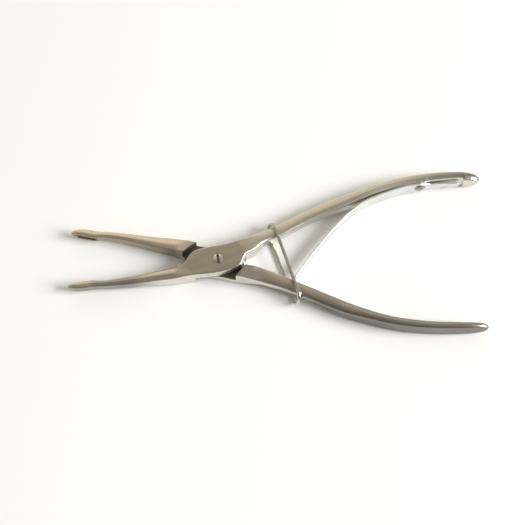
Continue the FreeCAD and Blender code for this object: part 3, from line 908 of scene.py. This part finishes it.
def steel(name, dark, light, rough, grain=1.0, seed=0.0, zones=(), sides=()):
    """Metal whose colour goes from dark to light by slow noise plus fine streaks, whose
    roughness follows the same streaks, and whose corners are lighter and smoother. Zones
    are (distance along in mm, colour) and tint the broad faces with painted reflection
    tone, and sides tint the upright sides with painted shade. Places marked dull are
    rougher, and their colour is darkened as painted shade."""
    graph = Graph(name)
    math, shader = graph.math, graph.shader.inputs
    along = graph.attribute("grain", "Vector")
    dull_and_shade = graph.attribute("dull_and_shade", "Fac")
    streaks = graph.noise(along, (0.12 * grain, 5.0 * grain, 5.0 * grain), 4.0, 3.0, seed)
    clouds = graph.noise(along, (0.10, 0.35, 0.35), 3.0, 11.0, seed)
    pits = graph.noise(along, (1.6, 3.0, 3.0), 2.0, 29.0, seed)
    tone = math("ADD", math("MULTIPLY", graph.stretch(streaks, 0.3, 0.7), 0.4),
                math("MULTIPLY", graph.stretch(clouds, 0.3, 0.7), 0.6))
    rubbed = math("MULTIPLY", graph.stretch(pits, 0.25, 0.6), graph.attribute("edge", "Fac"))
    rubbed = math("MULTIPLY", rubbed, WEAR)
    bright = tuple(min(1.0, 1.15 * c) for c in light)
    colour = graph.mix(rubbed, graph.mix(tone, dark, light), bright)
    # Painted reflection tone on the broad faces and painted shade on the upright sides,
    # multiplied into the colour.
    if zones:
        tint = graph.mix(graph.attribute("side", "Fac"), graph.bands(along, zones),
                         graph.bands(along, sides))
        colour = graph.mix(1.0, colour, tint, "MULTIPLY")
    # Places marked dull get the dark colour as painted shade, on top of the extra roughness
    # below.
    graph.put(shader["Base Color"], graph.mix(dull_and_shade, colour, RECESS_SHADE))
    streaky = math("MULTIPLY", graph.stretch(streaks, 0.25, 0.75), 0.12)
    roughness = math("ADD", streaky, rough - 0.06)
    roughness = math("ADD", roughness, math("MULTIPLY", dull_and_shade, 0.25))
    roughness = math("SUBTRACT", roughness, math("MULTIPLY", rubbed, 0.08))
    graph.put(shader["Roughness"], roughness)
    shader["Metallic"].default_value = 1.0
    relief = graph.node("ShaderNodeBump")
    relief.inputs["Strength"].default_value = BUMP
    relief.inputs["Distance"].default_value = BUMP_DEPTH * MM
    graph.put(relief.inputs["Height"], math("ADD", streaks, math("MULTIPLY", pits, 0.4)))
    graph.put(shader["Normal"], relief.outputs["Normal"])
    return graph.material


print("a full bump is", BUMP_DEPTH, "mm deep")

# %% [markdown]
# ## A finish for each piece
# The levers are the warmest steel, and their tints are painted light and shade. Along
# the broad faces, painted reflection tone makes the scoops and tips a little olive, the
# lower jaw lilac and darker, the joint's plate darker, the sprung handle paler than the
# other one and the grips darker towards their ends. Along the upright sides, painted
# shade darkens both jaws and the back grip. The stops below say where along each bar,
# in millimetres from its jaw's tip.

# %% Finishes
WARM_DARK, WARM_LIGHT = (0.70, 0.645, 0.545), (0.88, 0.82, 0.72)
OLIVE, TAN, LILAC = (1.0, 1.0, 0.86), (0.98, 0.92, 0.88), (0.62, 0.62, 0.70)
PLATE, PALE, MUTED = (0.575, 0.57, 0.565), (0.78, 0.80, 0.79), (0.50, 0.50, 0.53)
SAND = (0.84, 0.82, 0.81)
# Painted reflection tone on the broad faces, lighter or darker stretch by stretch.
FRONT_REFLECTION_TONES = ((0, OLIVE), (9, OLIVE), (13, LILAC), (27, LILAC), (33, SAND), (46, SAND),
               (56, PLATE), (78, PLATE), (92, PALE), (150, PALE), (184, MUTED))
BACK_REFLECTION_TONES = ((0, OLIVE), (12, OLIVE), (20, TAN), (44, TAN), (54, PLATE), (100, PLATE),
              (130, MUTED), (184, MUTED))
# Painted shade on the upright sides: dark on both jaws and on the back grip, nearly untinted
# elsewhere.
SIDE_UNSHADED, GRIP_SIDE_SHADE = (0.93, 0.95, 1.0), (0.28, 0.27, 0.28)
JAW_SIDE_SHADE, WARM_JAW_SIDE_SHADE = (0.44, 0.44, 0.45), (0.50, 0.46, 0.42)
FRONT_SIDE_SHADE = ((0, JAW_SIDE_SHADE), (26, JAW_SIDE_SHADE), (42, SIDE_UNSHADED), (184, SIDE_UNSHADED))
BACK_SIDE_SHADE = ((0, WARM_JAW_SIDE_SHADE), (44, WARM_JAW_SIDE_SHADE), (54, SIDE_UNSHADED), (92, SIDE_UNSHADED), (118, GRIP_SIDE_SHADE),
              (184, GRIP_SIDE_SHADE))
finishes = (
    (front_lever, steel("satin_forging_front", WARM_DARK, WARM_LIGHT, 0.34, seed=1.0,
                        zones=FRONT_REFLECTION_TONES, sides=FRONT_SIDE_SHADE)),
    (back_lever, steel("satin_forging_back", WARM_DARK, WARM_LIGHT, 0.34, seed=7.0,
                       zones=BACK_REFLECTION_TONES, sides=BACK_SIDE_SHADE)),
    (screw, steel("turned_screw", (0.55, 0.52, 0.48), (0.85, 0.83, 0.80), 0.18, grain=0.6)),
    (leaf, steel("spring_strip", (0.66, 0.65, 0.63), (0.88, 0.87, 0.85), 0.34, seed=3.0)),
    (leaf_rivet, steel("rivet_head", (0.26, 0.25, 0.23), (0.42, 0.40, 0.37), 0.30, seed=5.0)),
    (locking_ring, steel("drawn_wire", (0.50, 0.47, 0.42), (0.76, 0.73, 0.67), 0.22, seed=9.0)),
)
for obj, mat in finishes:
    obj.data.materials.append(mat)
print("materials:", [mat.name for _, mat in finishes])

# %% [markdown]
# ## Table, light and camera
# The tool lies on a plain pale table. A large soft lamp on the handles' side gives the
# light and the shadows, and a weak one overhead lifts the shadows. Steel shows what it
# reflects, so the room is part of the look: brightest part of the way up the wall behind
# the tool, dim elsewhere, and dimmest at the horizon.

# %% Table
def table():
    """Flat pale sheet, larger than any view needs."""
    reach = 3.0
    mesh = bpy.data.meshes.new("table")
    corners = [(-reach, -reach, 0), (reach, -reach, 0), (reach, reach, 0), (-reach, reach, 0)]
    mesh.from_pydata(corners, [], [(0, 1, 2, 3)])
    obj = bpy.data.objects.new("table", mesh)
    scene.collection.objects.link(obj)
    mat = bpy.data.materials.new("table_paper")
    mat.use_nodes = True
    shader = mat.node_tree.nodes["Principled BSDF"]
    shader.inputs["Base Color"].default_value = (0.86, 0.86, 0.84, 1)
    shader.inputs["Roughness"].default_value = 0.9
    shader.inputs["Specular IOR Level"].default_value = 0.1
    mesh.materials.append(mat)
    return obj


print("table is", round(table().dimensions.x, 1), "m wide")

# %% [markdown]
# ## The room and its lamps
# Satin steel on a white table needs something dark to reflect, or it turns white too. So
# the room is a dim one with one lit wall, and an area lamp, rather than the sky, throws
# the shadows. An image of a studio would work too, but a ramp keeps every value in sight.

# %% Room
LIT_WALL = (-0.12, 0.80, 0.59)
WALL_STOPS = ((0.0, (0.24, 0.22, 0.20)), (0.5, (0.27, 0.25, 0.22)),
              (0.84, (0.46, 0.42, 0.35)), (0.98, (1.0, 0.90, 0.74)))


def room():
    """Room round the table. Its colour follows how far a direction leans towards the lit
    wall behind the tool, the dot product of the two, and its strength rises from the
    horizon to a quarter of the way up."""
    world = bpy.data.worlds.new("room")
    scene.world = world
    world.use_nodes = True
    nodes, links = world.node_tree.nodes, world.node_tree.links
    where = nodes.new("ShaderNodeTexCoord")
    lean = nodes.new("ShaderNodeVectorMath")
    lean.operation = "DOT_PRODUCT"
    lean.inputs[1].default_value = LIT_WALL
    split = nodes.new("ShaderNodeSeparateXYZ")
    shade = nodes.new("ShaderNodeValToRGB")
    haze = nodes.new("ShaderNodeMapRange")
    haze.inputs["From Max"].default_value = 0.25
    haze.inputs["To Min"].default_value = 0.6
    links.new(where.outputs["Generated"], split.inputs["Vector"])
    links.new(where.outputs["Generated"], lean.inputs[0])
    links.new(lean.outputs["Value"], shade.inputs["Fac"])
    links.new(split.outputs["Z"], haze.inputs["Value"])
    links.new(shade.outputs["Color"], nodes["Background"].inputs["Color"])
    links.new(haze.outputs["Result"], nodes["Background"].inputs["Strength"])
    set_stops(shade.color_ramp, WALL_STOPS)


def lamp(name, place, aim, size, watts, colour, glossy=True):
    """Square area light at a place in metres, turned to face the aim."""
    data = bpy.data.lights.new(name, "AREA")
    data.size = size
    data.energy = watts
    data.color = colour
    obj = bpy.data.objects.new(name, data)
    scene.collection.objects.link(obj)
    obj.location = place
    obj.rotation_euler = (Vector(aim) - Vector(place)).to_track_quat("-Z", "Y").to_euler()
    obj.visible_glossy = glossy
    return obj


room()
MIDDLE_OF_TOOL = (0.02, 0, 0)
key = lamp("window", (2.08, -0.34, 1.24), MIDDLE_OF_TOOL, 1.20, 88, (0.97, 0.985, 1.0))
fill = lamp("ceiling", (0.02, 0, 2.2), MIDDLE_OF_TOOL, 2.0, 8, (0.96, 0.98, 1.0),
            glossy=False)
print("lamps in watts:", key.data.energy, fill.data.energy)

# %% [markdown]
# ## The camera
# The view is steep enough to show the outline nearly true and shallow enough to show the
# levers' thickness. A long lens keeps the two jaws at the same scale.

# %% Camera
ELEVATION = np.radians(67)
DISTANCE = 0.6249
AIM = Vector((0.0188, 0.0018, 0))


def camera():
    """Camera above the near lever, square to the tool's length, at the given elevation
    and distance from the point it is aimed at."""
    data = bpy.data.cameras.new("camera")
    data.lens = 100
    data.sensor_width = 36
    data.clip_start = 0.01
    obj = bpy.data.objects.new("camera", data)
    scene.collection.objects.link(obj)
    place = AIM + DISTANCE * Vector((0, -np.cos(ELEVATION), np.sin(ELEVATION)))
    obj.location = place
    obj.rotation_euler = (AIM - place).to_track_quat("-Z", "Y").to_euler()
    scene.camera = obj


camera()
scene.view_settings.view_transform = "Standard"
print("camera at", [round(c, 3) for c in scene.camera.location])

# %% [markdown]
